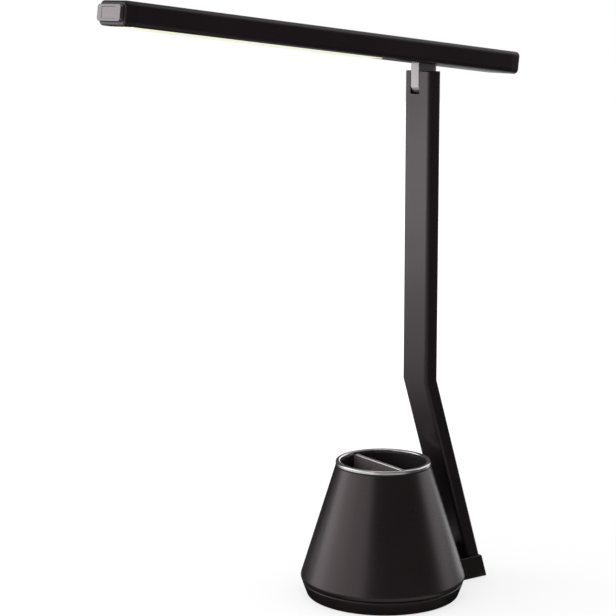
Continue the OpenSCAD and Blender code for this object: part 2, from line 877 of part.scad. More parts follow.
module tail_cap() {
    color(black_plastic) in_bar() {
        rounded_end(housing_y1, bar_back);
        spigot(housing_y1 - spigot_len, housing_y1 + fine);
    }
}

base_shell();
bottom_tray();
base_pad();
ballast_disc();
base_screws();
cup_liner();
rim_ring();
divider_plate();
divider_strip();
driver_board();
usb_inlet();
arm_foot();
heel_pad();
foot_screws();
arm_tube();
arm_plug();
arm_screws();
arm_lead();
hinge_yoke();
hinge_pin();
hinge_nut();
friction_washers();
hinge_tongue();
tongue_screws();
bar_housing();
bar_cover();
diffuser();
led_board();
led_chips();
bar_lead();
nose_bezel();
bezel_screws();
end_plate();
power_button();
switch_board();
tail_cap();
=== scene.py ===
"""Desk lamp: a light bar on a bent flat arm, over a cone base that is a pen cup.
Metres in the scene; the sizes written here are millimetres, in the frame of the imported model."""
import json
from math import acos, atan, cos, pi, radians, sin, tan

import bmesh
import bpy
from mathutils import Matrix, Vector


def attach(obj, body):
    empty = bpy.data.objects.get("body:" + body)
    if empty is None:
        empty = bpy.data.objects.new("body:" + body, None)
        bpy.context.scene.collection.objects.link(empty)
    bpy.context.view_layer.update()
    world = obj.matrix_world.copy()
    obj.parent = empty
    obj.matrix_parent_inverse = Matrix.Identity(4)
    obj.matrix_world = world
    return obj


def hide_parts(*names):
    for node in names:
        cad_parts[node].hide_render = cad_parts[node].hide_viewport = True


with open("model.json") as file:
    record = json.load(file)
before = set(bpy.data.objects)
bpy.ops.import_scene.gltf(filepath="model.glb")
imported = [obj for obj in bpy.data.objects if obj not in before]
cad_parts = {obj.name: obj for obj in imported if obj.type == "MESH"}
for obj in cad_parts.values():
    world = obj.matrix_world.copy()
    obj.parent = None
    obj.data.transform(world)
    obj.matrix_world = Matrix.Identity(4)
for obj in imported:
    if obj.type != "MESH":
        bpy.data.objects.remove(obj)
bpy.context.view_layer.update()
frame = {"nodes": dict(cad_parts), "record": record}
MM = 0.001

# ---------------------------------------------------------------- sizes, as in the part

FIT = 0.15  # room between a piece and what it sits in
NEAR = 0.01  # how near to a plane an edge counts as lying in it

# The cone; its side and the short face under it meet at a corner, which is rounded
BASE_R, WIDE_Z, TOP_R, BASE_H = 60.3, 14.3, 34.8, 100.2
SHELL_WALL, SHELL_Z0, SEAM_R = 2.2, 11.4, 59.76
CORNER_R, CORNER_Z, CORNER_ROUND = 60.56, 13.46, 4.6

# The tray, the recess for the pad under it, and the lip that stands up inside the cone
TRAY_R, TRAY_H, TRAY_WALL, TRAY_Z0, TRAY_Z1 = 55.8, 11, 2, 0.4, 3.2
PAD_R, PAD_Z = 53.2, 1.2
LIP_R, LIP_T, LIP_TOP = SEAM_R - SHELL_WALL - FIT, 1.8, 13.6
INLET_W, INLET_H, INLET_ROUND, INLET_Z, INLET_TURN = 9.2, 3.5, 1.3, 7.6, 145

# The cup, its rim and its divider
FLANGE_Z, RIM_Z = 96.6, 97.6
CUP_R, CUP_WALL, CUP_BASE, CUP_FLOOR, CUP_ROUND = 31.4, 1.2, 18, 20, 2
DIVIDER_X, DIVIDER_T, DIVIDER_Y, DIVIDER_TOP = 30.99, 2.6, -2.7, 97.9
STRIP_H, STRIP_SHORT = 1, 1.8

# The arm, bent once, and the foot block that it stands in
ARM_W, ARM_D, ARM_WALL, ARM_ROUND = 28.2, 11.4, 1.5, 2.6
ARM_Y, BEND_Z, ARM_TOP, ARM_BOTTOM = 33.1, 156.5, 381.1, 3.15
FOOT_Y, FOOT_H, FOOT_W, FOOT_BACK = 80.8, 17.3, 30, 6.9
FOOT_FRONT, FOOT_STEP, FOOT_FACE, FOOT_LEDGE = 42, 54.3, 48.3, 12.6
HEEL_X, HEEL_Y0, HEEL_Y1 = 13, 60.8, 83.3

# The hinge: a slot in the arm, and a tongue that turns in it and carries a plate inside the bar
SLOT_X, SLOT_W, SLOT_Z = -2.4, 9.6, 364.9
PIN_Z, PIN_HOLE_R, TONGUE_W, NECK_BACK = 371, 2.05, 8.8, 6.8
BARREL_R = ARM_D / 2 - 0.1
NECK_Y = ARM_D / 2 + NECK_BACK
HOLDER_X, HOLDER_Y0, HOLDER_Y1, HOLDER_T = 13.4, -17, 21, 3

# The light bar, in its own frame: Y runs along it and Z is up from its underside
BAR_W, BAR_H, BAR_ROUND, BAR_WALL, END_ROUND = 35, 16.2, 3.6, 1.4, 2.1
NOSE_Y, HOUSING_Y0, HOUSING_Y1, TAIL_Y = -254.5, -246, 67.1, 74.8
BAR_GAP, BAR_TILT, LIP_W = 5, 6.73, 3.1
MOUTH_X = BAR_W / 2 - LIP_W - FIT
LEDGE, COVER_T, COVER_TOP, COVER_Y = 0.95, 1.6, 1.8, -48
DIFFUSER_TOP, DIFFUSER_PROUD = 2.3, 0.6
SCREW_XS, SCREW_YS = (-9, 9), (-13, 17)
HEAD_R, HEAD_DEEP, SCREW_R, COVER_DEEP = 2.4, 1, 1.4, 5
PLATE_W, PLATE_H, PLATE_PROUD, PLATE_T, PLATE_ROUND = 30.2, 10.8, 2.6, 3.5, 2.2
PLATE_BEVEL, POCKET_DEEP = 1.4, 4
PLATE_Y = NOSE_Y - PLATE_PROUD
BUTTON_W, BUTTON_H, BUTTON_ROUND, BUTTON_GAP, BUTTON_SUNK = 18.4, 7.5, 1, 0.05, 0.1

LEAN = atan((FOOT_Y - ARM_Y) / BEND_Z)
MID_BAR = (0, BAR_H / 2)
IN_BAR = (
    Matrix.Translation(Vector((0, ARM_Y, ARM_TOP)) * MM)
    @ Matrix.Rotation(radians(-BAR_TILT), 4, "X")
    @ Matrix.Translation(Vector((0, 0, BAR_GAP)) * MM)
)


def arm_mid(z):
    """How far back the middle of the arm is at a height under the bend."""
    return ARM_Y + tan(LEAN) * (BEND_Z - z)


# ---------------------------------------------------------------- camera and light

CAMERA_PLACE = (1.06154, -0.79910, 0.43936)
CAMERA_TILT, CAMERA_TURN = radians(80.3), radians(55.4)
SENSOR, LENS = 36, 109.38

bpy.ops.object.select_all(action="DESELECT")
bpy.ops.object.camera_add(location=CAMERA_PLACE, rotation=(CAMERA_TILT, 0, CAMERA_TURN))
camera = bpy.context.object
camera.data.sensor_width = SENSOR
camera.data.lens = LENS
camera.data.clip_end = 50
scene = bpy.context.scene
scene.camera = camera
scene.view_settings.view_transform = "Standard"


def hex_colour(text):
    """An sRGB hex colour as linear red, green, blue and alpha."""
    parts = [int(text[i:i + 2], 16) / 255 for i in (1, 3, 5)]
    return [c / 12.92 if c <= 0.04045 else ((c + 0.055) / 1.055) ** 2.4 for c in parts] + [1]


def node(tree, kind, inputs=(), **settings):
    """Adds a node, sets its properties, and fills its inputs with values or with other nodes' outputs."""
    made = tree.nodes.new(kind)
    for name, value in settings.items():
        setattr(made, name, value)
    for name, value in dict(inputs).items():
        if isinstance(value, bpy.types.NodeSocket):
            tree.links.new(value, made.inputs[name])
        else:
            made.inputs[name].default_value = value
    return made


def softbox(name, width, height, place, aim, radiance):
    """A rectangular studio light; its power gives the asked radiance over its area, in metres."""
    light = bpy.data.lights.new(name, "AREA")
    light.shape, light.size, light.size_y = "RECTANGLE", width, height
    light.energy = radiance * pi * width * height
    lamp = bpy.data.objects.new(name, light)
    lamp.location = place
    lamp.rotation_euler = (Vector(place) - Vector(aim)).to_track_quat("Z", "Y").to_euler()
    scene.collection.objects.link(lamp)


# The key light is wide and has a core on its far side, which adds to it; both stand to the left of the
# nose. A third carries on from them to the front, one behind and above draws the bar's top edge, and one
# hangs over the lamp.
MIDDLE = (0, 0, 0.2)
softbox("key_softbox", 0.92, 1.1, (-0.52, -0.777, 0.50), (0, 0, 0.5), 1.3)
softbox("key_core", 0.42, 1.0, (-0.67, -0.613, 0.45), (0, 0, 0.45), 0.62)
softbox("front_softbox", 1.0, 1.2, (0.27, -1.47, 0.40), MIDDLE, 1.0)
softbox("edge_softbox", 1.2, 0.7, (0.41, 0.92, 1.42), (0, -0.1, 0.4), 0.9)
softbox("top_softbox", 1.0, 1.0, (0, 0, 1.7), MIDDLE, 0.6)


def by_side(tree, place, stops):
    """How light the studio is on each side of the lamp: degrees from +X and a level, joined evenly."""
    apart = node(tree, "ShaderNodeSeparateXYZ", {0: place})
    turn = node(tree, "ShaderNodeMath", {0: apart.outputs["Y"], 1: apart.outputs["X"]}, operation="ARCTAN2")
    part = node(tree, "ShaderNodeMapRange", {"Value": turn.outputs[0], "From Min": -pi, "From Max": pi})
    ramp = node(tree, "ShaderNodeValToRGB", {0: part.outputs[0]})
    for degree, level in stops:
        stop = ramp.color_ramp.elements.new((degree + 180) / 360)
        stop.color = (level, level, level, 1)
    for end in (ramp.color_ramp.elements[0], ramp.color_ramp.elements[-1]):
        end.color = (stops[0][1],) * 3 + (1,)
    return ramp.outputs["Color"]


def ray_kinds(tree):
    """Whether a ray draws gloss, and whether the camera sends it, straight or through clear things."""
    rays = node(tree, "ShaderNodeLightPath").outputs
    straight_on = node(tree, "ShaderNodeMath", {0: rays["Is Camera Ray"], 1: rays["Is Transmission Ray"]},
                       operation="MAXIMUM")
    return rays["Is Glossy Ray"], straight_on.outputs[0]


# The camera sees white all round, and the room lights matt surfaces evenly. Gloss and metal show a bright
# backdrop behind the lamp on its right, dark flags on the other sides and a dim ceiling.
ROOM_LEVEL, FLAG_LEVEL, CEILING_LEVEL, BACKDROP_LEVEL = 0.65, 0.07, 0.5, 1.35
world = bpy.data.worlds.new("studio")
world.use_nodes = True
scene.world = world
sky = world.node_tree
sky.nodes.clear()
glossy, seen = ray_kinds(sky)
way = node(sky, "ShaderNodeTexCoord").outputs["Generated"]
height = node(sky, "ShaderNodeSeparateXYZ", {0: way}).outputs["Z"]
side = by_side(sky, way, (
    (-165, 0.02), (-150, FLAG_LEVEL), (50, FLAG_LEVEL), (62, 1), (133, 1), (143, 0.02)))
top_edge = node(sky, "ShaderNodeMapRange",
                {"Value": height, "From Min": 0.5, "From Max": 0.68, "To Min": BACKDROP_LEVEL, "To Max": 0})
backdrop = node(sky, "ShaderNodeMath", {0: side, 1: top_edge.outputs[0]}, operation="MULTIPLY")
ceiling = node(sky, "ShaderNodeMapRange", {
    "Value": height, "From Min": 0.7, "From Max": 0.85, "To Min": FLAG_LEVEL, "To Max": CEILING_LEVEL})
mirrored = node(sky, "ShaderNodeMath", {0: backdrop.outputs[0], 1: ceiling.outputs[0]}, operation="MAXIMUM")
lit = node(sky, "ShaderNodeMix", {0: glossy, 2: ROOM_LEVEL, 3: mirrored.outputs[0]})
level = node(sky, "ShaderNodeMix", {0: seen, 2: lit.outputs[0], 3: 1})
white = node(sky, "ShaderNodeBackground", {"Color": (1, 1, 1, 1), "Strength": level.outputs[0]})
node(sky, "ShaderNodeOutputWorld", {"Surface": white.outputs[0]})

# ---------------------------------------------------------------- ways of making


def clear():
    """Object mode with nothing selected."""
    if bpy.context.mode != "OBJECT":
        bpy.ops.object.mode_set(mode="OBJECT")
    bpy.ops.object.select_all(action="DESELECT")


def only(piece):
    """Makes one piece the selected and active one, in object mode."""
    clear()
    piece.select_set(True)
    bpy.context.view_layer.objects.active = piece


def named(name):
    """Gives the active piece its name."""
    piece = bpy.context.object
    piece.name = piece.data.name = name
    return piece


def pick(piece, kind, test):
    """Opens the piece in edit mode with only the faces or edges (kind) that pass the test selected."""
    only(piece)
    bpy.ops.object.mode_set(mode="EDIT")
    bpy.context.tool_settings.mesh_select_mode = [kind == k for k in ("verts", "edges", "faces")]
    bpy.ops.mesh.select_all(action="DESELECT")
    grid = bmesh.from_edit_mesh(piece.data)
    for part in getattr(grid, kind):
        if test(part):
            part.select_set(True)
    bmesh.update_edit_mesh(piece.data)


def centre(part):
    """The middle of a face or edge, in millimetres."""
    return sum((v.co for v in part.verts), Vector()) / len(part.verts) / MM


def soft(points, turns=6):
    """A path whose corners are rounded: each point is two coordinates and, if it is rounded, its radius."""
    path, count = [], len(points)
    for i, point in enumerate(points):
        here = Vector(point[:2])
        if len(point) == 2:
            path.append(here)
            continue
        into = (Vector(points[i - 1][:2]) - here).normalized()
        away = (Vector(points[(i + 1) % count][:2]) - here).normalized()
        half = acos(max(-1, min(1, into.dot(away)))) / 2
        middle = here + (into + away).normalized() * point[2] / sin(half)
        first, last = here + into * point[2] / tan(half), here + away * point[2] / tan(half)
        a, b = first - middle, last - middle
        swing = acos(max(-1, min(1, a.dot(b) / a.length / b.length)))
        for k in range(turns + 1):
            t = k / turns
            path.append(middle + (a * sin((1 - t) * swing) + b * sin(t * swing)) / sin(swing))
    return path


def arc(middle, radius, steps=16, count=32):
    """Points on a circle, with steps to its half turn; a radius below 0 starts on the far side."""
    angles = [pi * k / steps for k in range(count)]
    return [(middle[0] + radius * cos(a), middle[1] + radius * sin(a)) for a in angles]


def wire(name, points):
    """A chain of edges through the points, extruded from one corner; it is left open in edit mode."""
    clear()
    bpy.ops.mesh.primitive_plane_add(size=MM)
    piece = named(name)
    bpy.ops.object.mode_set(mode="EDIT")
    bpy.context.tool_settings.mesh_select_mode = (True, False, False)
    bpy.ops.mesh.select_all(action="SELECT")
    bpy.ops.mesh.merge(type="CENTER")
    bpy.ops.transform.translate(value=Vector(points[0]) * MM)
    for a, b in zip(points, points[1:]):
        step = (Vector(b) - Vector(a)) * MM
        bpy.ops.mesh.extrude_vertices_move(TRANSFORM_OT_translate={"value": step})
    return piece


def close_up(piece):
    """Joins doubled points and turns every face outwards."""
    bpy.ops.mesh.select_all(action="SELECT")
    bpy.ops.mesh.remove_doubles(threshold=2e-6)
    bpy.ops.mesh.normals_make_consistent(inside=False)
    clear()
    return piece


def turned(name, path, steps=192):
    """A closed path of radius and height, spun round the upright axis."""
    path = list(path) + [path[0]]
    piece = wire(name, [(r, 0, z) for r, z in path])
    bpy.ops.mesh.select_all(action="SELECT")
    bpy.ops.mesh.spin(steps=steps, angle=2 * pi, center=(0, 0, 0), axis=(0, 0, 1))
    return close_up(piece)


def drawn(name, path, way, start, length):
    """A closed path filled and extruded along X, Y or Z (way) from start, over length."""
    def at(p):
        return {"X": (start, p[0], p[1]), "Y": (p[0], start, p[1]), "Z": (p[0], p[1], start)}[way]
    piece = wire(name, [at(p) for p in path])
    bpy.ops.mesh.select_all(action="SELECT")
    bpy.ops.mesh.edge_face_add()
    move = Vector([length * MM * (way == axis) for axis in "XYZ"])
    bpy.ops.mesh.extrude_region_move(TRANSFORM_OT_translate={"value": move})
    return close_up(piece)


def slab(name, low, high):
    """A box between two corners."""
    clear()
    low, high = Vector(low) * MM, Vector(high) * MM
    bpy.ops.mesh.primitive_cube_add(size=1, location=(low + high) / 2, scale=high - low)
    bpy.ops.object.transform_apply(location=True, rotation=True, scale=True)
    return named(name)


def rounded(width, height, radius, middle, turns=6):
    """A rectangle with round corners."""
    x, y = width / 2, height / 2
    corners = ((-x, -y), (x, -y), (x, y), (-x, y))
    return soft([(middle[0] + a, middle[1] + b, radius) for a, b in corners], turns)


def apply(piece, kind, **settings):
    """Adds a modifier and applies it at once."""
    only(piece)
    change = piece.modifiers.new(kind.title(), kind)
    for name, value in settings.items():
        setattr(change, name, value)
    bpy.ops.object.modifier_apply(modifier=change.name)
    return piece


def cut(piece, cutter, operation="DIFFERENCE"):
    """Cuts, joins or crosses the piece with another one, which is used up."""
    apply(piece, "BOOLEAN", object=cutter, operation=operation, solver="EXACT")
    bpy.data.objects.remove(cutter)
    return piece


def ease(piece, test, width, turns=3):
    """Rounds the edges that pass the test, in edit mode."""
    pick(piece, "edges", test)
    bpy.ops.mesh.bevel(offset=width * MM, segments=turns, profile=0.5, clamp_overlap=True)
    clear()
    return piece


def is_sharp(edge, angle=60):
    """Whether two faces meet at the edge and turn by more than the angle."""
    return len(edge.link_faces) == 2 and edge.calc_face_angle(0) > radians(angle)


def put(piece, place):
    """Moves a piece by a matrix, and writes the move into its mesh."""
    only(piece)
    piece.matrix_world = place
    bpy.ops.object.transform_apply(location=True, rotation=True, scale=True)
    return piece


def finish(piece, body, finish_of, slot, *nodes, place=None):
    """Smooths a finished piece, puts it in place, and ties it to its body, material and CAD nodes."""
    only(piece)
    if place is not None:
        put(piece, place)
    bpy.ops.object.shade_smooth_by_angle(angle=radians(35))
    apply(piece, "WEIGHTED_NORMAL", keep_sharp=True)
    piece.data.materials.clear()
    piece.data.materials.append(finish_of)
    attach(piece, body)
    if nodes:
        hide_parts(*nodes)
    return piece


# ---------------------------------------------------------------- finishes


def material(name):
    """A new material with its shader, and the place on the piece that patterns are laid out by."""
    made = bpy.data.materials.new(name)
    made.use_nodes = True
    tree = made.node_tree
    tree.nodes.clear()
    skin = node(tree, "ShaderNodeBsdfPrincipled")
    node(tree, "ShaderNodeOutputMaterial", {"Surface": skin.outputs["BSDF"]})
    return made, tree, skin, node(tree, "ShaderNodeTexCoord").outputs["Object"]


def tint(tree, skin, pattern, dark, light, rough, swing=0.04):
    """Colour and roughness that follow a noise, from one hex tone to another, rougher where lighter."""
    level = node(tree, "ShaderNodeMapRange", {"Value": pattern, "From Min": 0.3, "From Max": 0.7})
    tones = {0: level.outputs[0], 6: hex_colour(dark), 7: hex_colour(light)}
    tone = node(tree, "ShaderNodeMix", tones, data_type="RGBA")
    grit = node(tree, "ShaderNodeMapRange",
                {"Value": level.outputs[0], "To Min": rough - swing, "To Max": rough + swing})
    tree.links.new(tone.outputs[2], skin.inputs["Base Color"])
    tree.links.new(grit.outputs[0], skin.inputs["Roughness"])


def moulded(name, dark, light, rough, grit, depth, ior=1.5):
    """A plastic or a coat with a fine even grain and slow drifts of tone; grit is the grain's spacing and
    depth its height, in millimetres."""
    made, tree, skin, place = material(name)
    fine = {"Vector": place, "Scale": 1 / (grit * MM), "Detail": 2}
    grain = node(tree, "ShaderNodeTexNoise", fine).outputs[0]
    drift = node(tree, "ShaderNodeTexNoise", {"Vector": place, "Scale": 22, "Detail": 3}).outputs[0]
    blend = node(tree, "ShaderNodeMix", {0: 0.5, 2: grain, 3: drift}).outputs[0]
    tint(tree, skin, blend, dark, light, rough)
    bump = node(tree, "ShaderNodeBump", {"Height": grain, "Strength": 0.6, "Distance": depth * MM})
    tree.links.new(bump.outputs[0], skin.inputs["Normal"])
    skin.inputs["IOR"].default_value = ior
    skin.inputs["Specular Tint"].default_value = hex_colour("#fff0f4")
    return made


def lined_metal(name, dark, light, rough, lines, metallic=1):
    """A metal with fine tool lines; lines(tree, place) gives their noise."""
    made, tree, skin, place = material(name)
    pattern = lines(tree, place)
    tint(tree, skin, pattern, dark, light, rough, swing=0.06)
    bump = node(tree, "ShaderNodeBump", {"Height": pattern, "Strength": 0.5, "Distance": 0.004 * MM})
    tree.links.new(bump.outputs[0], skin.inputs["Normal"])
    skin.inputs["Metallic"].default_value = metallic
    return made


def straight(x, y, z):
    """Lines drawn out along an axis: how many noise cells there are to a millimetre along X, Y and Z."""
    def lines(tree, place):
        spaced = node(tree, "ShaderNodeMapping", {"Vector": place, "Scale": Vector((x, y, z)) / MM})
        noise = node(tree, "ShaderNodeTexNoise", {"Vector": spaced.outputs[0], "Scale": 1, "Detail": 3})
        return noise.outputs[0]
    return lines


def round_axis(tree, place):
    """Lines that a lathe leaves round the upright axis."""
    spacing = 0.45 * MM
    apart = node(tree, "ShaderNodeSeparateXYZ", {0: place})
    flat = node(tree, "ShaderNodeCombineXYZ", {0: apart.outputs["X"], 1: apart.outputs["Y"]})
    reach = node(tree, "ShaderNodeVectorMath", {0: flat.outputs[0]}, operation="LENGTH").outputs["Value"]
    groove = node(tree, "ShaderNodeCombineXYZ", {0: reach, 1: apart.outputs["Z"]}).outputs[0]
    noise = node(tree, "ShaderNodeTexNoise", {"Vector": groove, "Scale": 1 / spacing, "Detail": 2})
    return noise.outputs[0]


# ABS moulded in a spark-eroded tool and coated: near black with a warm tint, satin, with a fine grit. The
# real grit is 0.1 mm, and it is drawn at 0.9 mm so that it shows.
satin_shell = moulded("coated_abs_satin", "#150e0f", "#1b1314", 0.30, 0.9, 0.008, ior=1.58)
# Extruded aluminium under a satin black powder coat: smoother than the cone, with a long soft sheen.
powder_coat = moulded("powder_coated_aluminium", "#181113", "#1e1719", 0.31, 1.1, 0.010, ior=1.46)
# ABS caps and trays straight from the tool: a little rougher and more matt.
plain_abs = moulded("moulded_abs_matt", "#1d1718", "#241d1e", 0.36, 0.8, 0.012)
# The same plastic of the nose, in a deeper spark texture: flatter and darker.
nose_abs = moulded("moulded_abs_deep_matt", "#161112", "#1c1617", 0.38, 0.6, 0.016, ior=1.38)
# The cup's lining: polypropylene with a coarse matt grain, dark grey brown, which hides pen marks.
lining = moulded("grained_polypropylene", "#120e0f", "#1a1516", 0.62, 1.6, 0.05)
# The divider: the same plastic in dark grey, with a coarser mottle.
mottled = moulded("mottled_polypropylene", "#4a4243", "#776d6f", 0.55, 1.8, 0.05)
# Diamond-turned aluminium rim, clear anodised: bright, with lines round it.
rim_metal = lined_metal("turned_anodised_aluminium", "#c4c0c1", "#dedbdb", 0.22, round_axis)
# Aluminium plate and key, brushed across and clear anodised: lines every 0.3 mm along X.
plate_metal = lined_metal("brushed_anodised_aluminium", "#767173", "#817c7e", 0.36, straight(0.05, 3, 3))
# The divider's strip: the same aluminium, but polished bright.
strip_metal = lined_metal("polished_aluminium", "#d9d6d7", "#e8e6e6", 0.30, straight(0.05, 3, 3))
# Aluminium casting, satin silver lacquer: soft grey sheen, partly matt, tumbled and not brushed.
cast_metal = lined_metal(
    "silver_lacquered_cast_aluminium", "#949193", "#aaa7a9", 0.42, straight(0.8, 0.8, 0.8), metallic=0.7)
# Zinc plated steel of the pin, screws and ballast: bluish grey, drawn lines.
plated_steel = lined_metal("zinc_plated_steel", "#8e9299", "#a9adb3", 0.32, straight(2, 2, 0.2))
# Spring steel of the friction washers, blued and oiled: dark, drawn lines.
blued_steel = lined_metal("blued_spring_steel", "#17181b", "#26272b", 0.38, straight(2, 2, 0.2))
# Foam rubber of the pads: matt black, open pores of about 0.6 mm.
foam_rubber = moulded("foam_rubber", "#121212", "#1a1a1a", 0.85, 0.6, 0.06)
# Glass-fibre board with green solder mask; the weave shows faintly every 0.5 mm.
green_board = moulded("solder_masked_board", "#123a27", "#1a4a33", 0.35, 0.5, 0.01)
# The same board with the white mask that light boards have.
white_board = moulded("white_masked_board", "#e4e4df", "#f0f0ec", 0.40, 0.5, 0.01)
# Silicone with yellow phosphor over the chips.
phosphor = moulded("phosphor_silicone", "#e8d77a", "#f0e296", 0.25, 0.4, 0.004)

# Extruded opal acrylic, lit from inside: it glows pale warm white, nearly even, with slow faint drifts.
opal, tree, skin, place = material("opal_acrylic_lit")
spots = node(tree, "ShaderNodeTexNoise", {"Vector": place, "Scale": 30, "Detail": 1}).outputs[0]
tint(tree, skin, spots, "#eff1da", "#f3f4e2", 0.45)
tree.links.new(skin.inputs["Base Color"].links[0].from_socket, skin.inputs["Emission Color"])
skin.inputs["Emission Strength"].default_value = 0.7
skin.inputs["IOR"].default_value = 1.49

FINISHES = {
    "black_shell": satin_shell, "black_plastic": plain_abs, "black_metal": powder_coat, "chip": phosphor,
    "bright_trim": plate_metal, "neck_metal": cast_metal, "steel": plated_steel, "rubber": foam_rubber,
    "board": green_board, "white_board": white_board, "diffuser": opal,
}
slots = {row["node"]: row["material_slot"] for row in frame["record"]["subparts"]}
for name, piece in frame["nodes"].items():
    piece.data.materials.clear()
    piece.data.materials.append(blued_steel if name == "friction_washers" else FINISHES[slots[name]])

# ---------------------------------------------------------------- base and cup


def foot_notch():
    """What the foot block takes out of the cone and the tray."""
    side, past_base = FOOT_W / 2 + FIT, BASE_R + 4.7
    return slab("notch", (-side, FOOT_FRONT, TRAY_Z1), (side, past_base, FOOT_H + FIT))


shell = turned("cone_shell", soft([
    (SEAM_R, SHELL_Z0, 0.8), (CORNER_R, CORNER_Z, CORNER_ROUND), (TOP_R, FLANGE_Z),
    (TOP_R - SHELL_WALL + FIT, FLANGE_Z), (BASE_R - SHELL_WALL, WIDE_Z),
    (SEAM_R - SHELL_WALL, SHELL_Z0, 0.2)]))
cut(shell, foot_notch())
finish(shell, "stand", satin_shell, "black_shell", "base_shell")

tray = turned("base_tray", soft([
    (0, PAD_Z), (PAD_R, PAD_Z), (PAD_R, TRAY_Z0), (TRAY_R, TRAY_Z0, 0.8), (SEAM_R, TRAY_H, 1.2),
    (LIP_R, TRAY_H), (LIP_R, LIP_TOP), (LIP_R - LIP_T, LIP_TOP), (LIP_R - LIP_T, TRAY_H),
    (TRAY_R - TRAY_WALL, TRAY_Z1), (0, TRAY_Z1)]))
cut(tray, foot_notch())
opening = rounded(INLET_W, INLET_H, INLET_ROUND, (0, INLET_Z))
inlet_hole = drawn("inlet_hole", opening, "X", TRAY_R - 7.8, 14)
cut(tray, put(inlet_hole, Matrix.Rotation(radians(INLET_TURN), 4, "Z")))
finish(tray, "stand", plain_abs, "black_plastic", "bottom_tray")

liner = turned("cup_lining", soft([
    (0, CUP_BASE), (CUP_R + CUP_WALL, CUP_BASE, CUP_ROUND), (CUP_R + CUP_WALL, FLANGE_Z), (TOP_R, FLANGE_Z),
    (TOP_R, RIM_Z), (CUP_R, RIM_Z, 0.2), (CUP_R, CUP_FLOOR, CUP_ROUND), (0, CUP_FLOOR)]))
finish(liner, "stand", lining, "black_plastic", "cup_liner")

rim = turned("rim_band", soft([
    (CUP_R + FIT, RIM_Z), (TOP_R, RIM_Z, 0.15), (TOP_R, BASE_H, 1.2), (CUP_R + FIT, BASE_H, 1.1)], 8))
finish(rim, "stand", rim_metal, "bright_trim", "rim_ring")

divider = slab("cup_divider", (-DIVIDER_X, DIVIDER_Y - DIVIDER_T / 2, CUP_FLOOR),
               (DIVIDER_X, DIVIDER_Y + DIVIDER_T / 2, DIVIDER_TOP))
ease(divider, lambda e: centre(e).z > DIVIDER_TOP - NEAR, 0.25, 2)
finish(divider, "stand", mottled, "black_plastic", "divider_plate")

strip_x, strip_top = DIVIDER_X - STRIP_SHORT, DIVIDER_TOP + STRIP_H
strip = slab("divider_trim", (-strip_x, DIVIDER_Y - DIVIDER_T / 2, DIVIDER_TOP),
             (strip_x, DIVIDER_Y + DIVIDER_T / 2, strip_top))
ease(strip, lambda e: centre(e).z > strip_top - NEAR, 0.85, 6)
finish(strip, "stand", strip_metal, "bright_trim", "divider_strip")

# ---------------------------------------------------------------- arm


def arm_outline(depth, z0, z1):
    """Side outline of the bent arm, as depth and height, between two heights."""
    half, rise = depth / 2, depth / 2 * tan(LEAN / 2)
    low = half / cos(LEAN)
    return [(arm_mid(z0) - low, z0), (arm_mid(z0) + low, z0), (ARM_Y + half, BEND_Z + rise),
            (ARM_Y + half, z1), (ARM_Y - half, z1), (ARM_Y - half, BEND_Z - rise)]


def at_arm_mouth(edge):
    """Edges of the slot and of the open top that show."""
    middle = centre(edge)
    in_front_or_back = abs(middle.y - ARM_Y) > ARM_D / 2 - NEAR
    return is_sharp(edge) and middle.z > SLOT_Z - 1 and (middle.z > ARM_TOP - NEAR or in_front_or_back)


tube = drawn("arm_flat_tube", arm_outline(ARM_D, ARM_BOTTOM, ARM_TOP), "X", -ARM_W / 2, ARM_W)
ease(tube, lambda e: abs(centre(e).x) > ARM_W / 2 - NEAR and ARM_BOTTOM + 1 < centre(e).z < ARM_TOP - 1,
     ARM_ROUND, 8)
pick(tube, "faces", lambda f: abs(f.normal.z) > 0.99)
bpy.ops.mesh.delete(type="FACE")
apply(tube, "SOLIDIFY", thickness=ARM_WALL * MM, offset=-1, use_even_offset=True)
cut(tube, slab("slot", (SLOT_X - SLOT_W / 2, ARM_Y - 10, SLOT_Z),
               (SLOT_X + SLOT_W / 2, ARM_Y + 10, ARM_TOP + 5)))
ease(tube, at_arm_mouth, 0.35, 3)
finish(tube, "stand", powder_coat, "black_metal", "arm_tube")

foot = drawn("arm_foot_block", soft([
    (FOOT_FRONT, TRAY_Z1 + FIT), (FOOT_STEP, TRAY_Z1 + FIT), (FOOT_STEP, TRAY_Z0),
    (arm_mid(TRAY_Z0) + FOOT_BACK, TRAY_Z0, 0.6), (arm_mid(FOOT_H) + FOOT_BACK, FOOT_H, 0.7),
    (FOOT_FACE, FOOT_H), (FOOT_FACE, FOOT_LEDGE), (FOOT_FRONT, FOOT_LEDGE)]), "X", -FOOT_W / 2, FOOT_W)
ease(foot, lambda e: abs(centre(e).x) > FOOT_W / 2 - NEAR and centre(e).y > BASE_R, 0.7, 3)
under_r, under_z = TRAY_R + 0.8, TRAY_Z1 + FIT
cut(foot, turned("under_tray", [(0, -1), (under_r, -1), (under_r, under_z), (0, under_z)], 64))
cut(foot, drawn("arm_room", arm_outline(ARM_D + 2 * FIT, 3, 200), "X", -ARM_W / 2 - FIT, ARM_W + 2 * FIT))
cut(foot, slab("heel_room", (-HEEL_X - FIT, HEEL_Y0 - FIT, -1), (HEEL_X + FIT, HEEL_Y1 + FIT, PAD_Z)))
finish(foot, "stand", satin_shell, "black_shell", "arm_foot")

# ---------------------------------------------------------------- hinge


def neck_plan(half, front, back):
    """Outline of the tongue from above: straight sides and a half round back."""
    right, left = SLOT_X + half, SLOT_X - half
    bend = arc((SLOT_X, back), half, 24, 24)[1:]
    return [(right, front), (right, back)] + bend + [(left, back), (left, front)]


